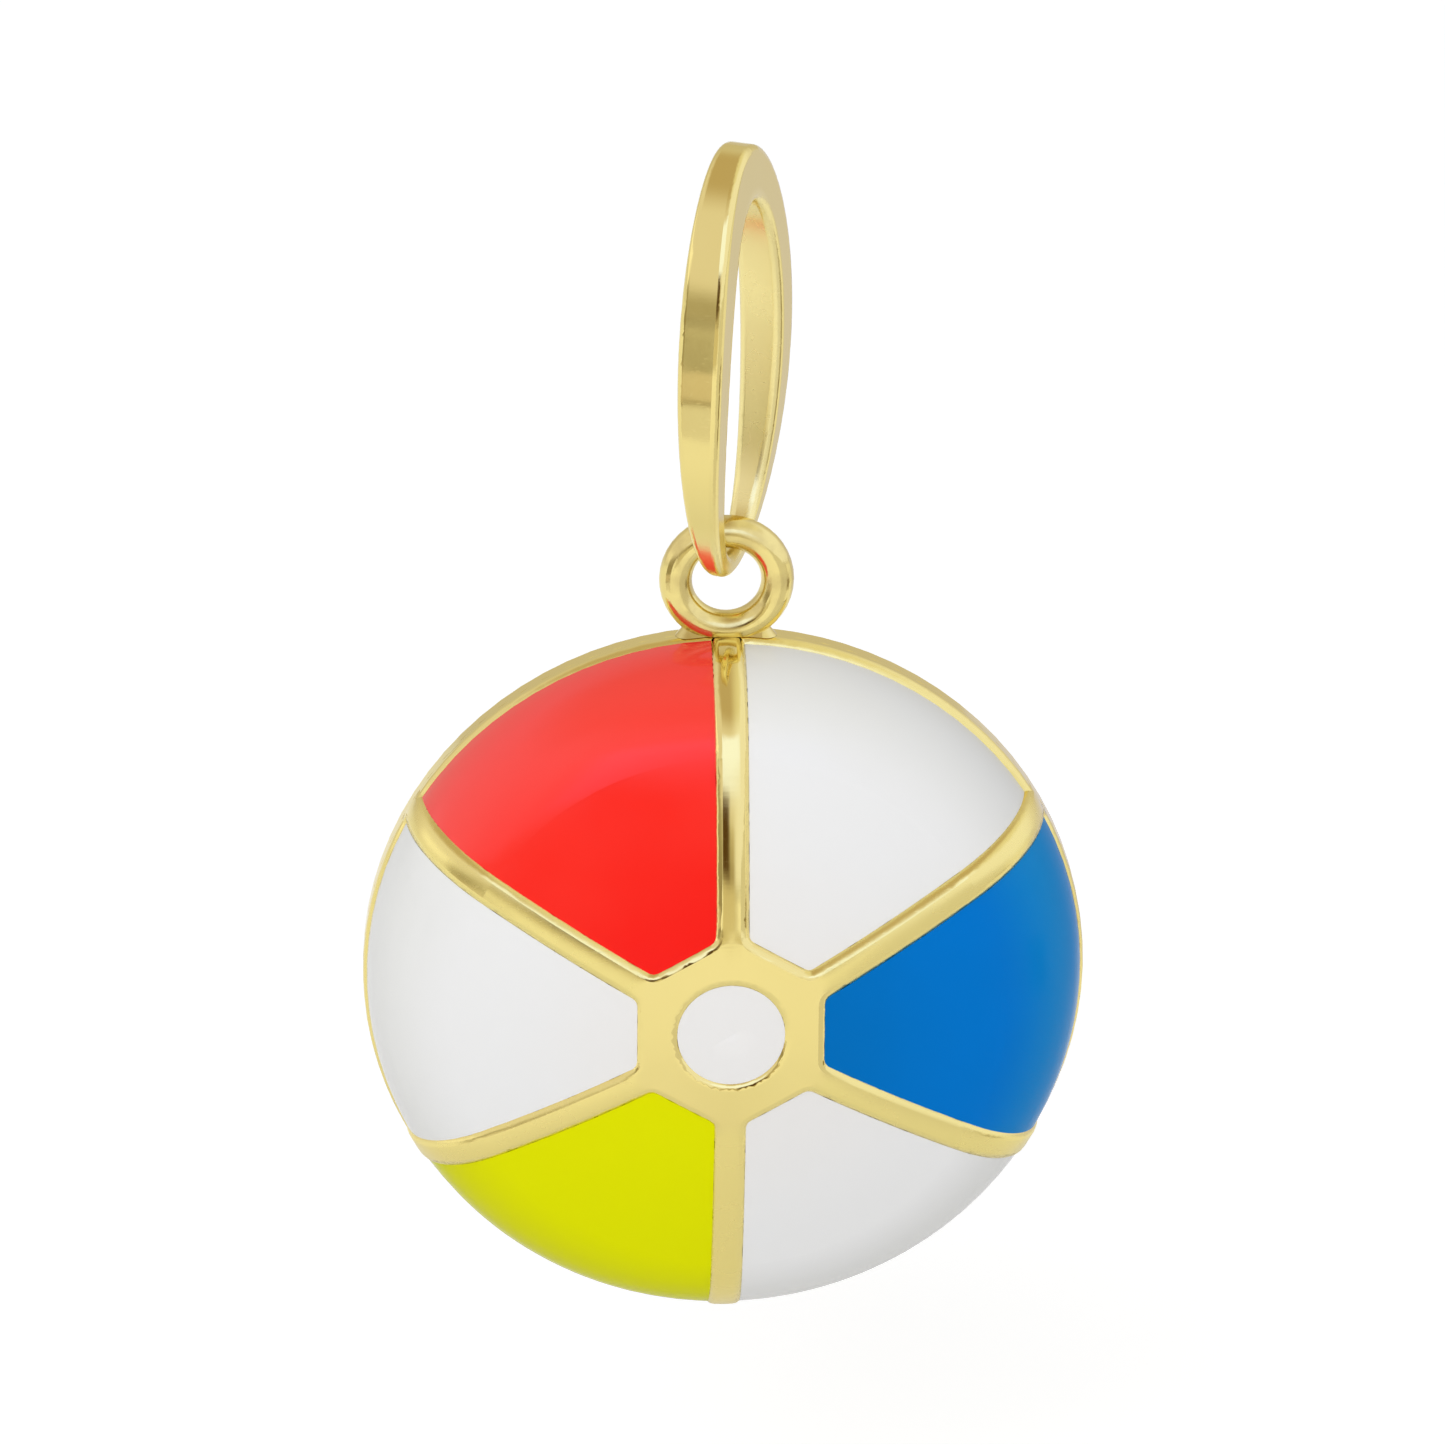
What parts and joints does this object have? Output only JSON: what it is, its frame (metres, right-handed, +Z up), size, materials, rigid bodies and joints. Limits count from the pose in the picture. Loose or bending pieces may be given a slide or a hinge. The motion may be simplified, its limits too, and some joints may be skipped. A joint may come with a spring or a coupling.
{
  "type": "enamelled charm",
  "caption": "Domed round charm with enamelled panels set between polished gold ribs, on a soldered loop that swings in an oval bail.",
  "frame": {"origin": "the chain seat: inner top of the bail, where a chain runs through it", "axes": "+Z up along the hanging charm; the enamelled face looks towards -Y and the flat back towards +Y; +X is to the right as seen from the front"},
  "size_m": [0.015, 0.0057, 0.0256],
  "materials": {
    "gold": "polished",
    "red_enamel": "glossy",
    "white_enamel": "glossy",
    "blue_enamel": "glossy",
    "yellow_enamel": "glossy"
  },
  "bodies": {
    "bail": {"bail": "gold"},
    "charm": {"hanging_loop": "gold", "dome_casting": "gold", "back_plate": "gold", "enamel_red": "red_enamel", "enamel_white_upper": "white_enamel", "enamel_blue": "blue_enamel", "enamel_white_lower": "white_enamel", "enamel_yellow": "yellow_enamel", "enamel_white_left": "white_enamel", "enamel_button": "white_enamel"}
  },
  "joints": [
    {"name": "charm_swing", "type": "hinge", "parent": "bail", "child": "charm", "pos_m": [0, 0, -0.00719], "axis": [1, 0, 0], "range_deg": [-75, 75]}
  ]
}
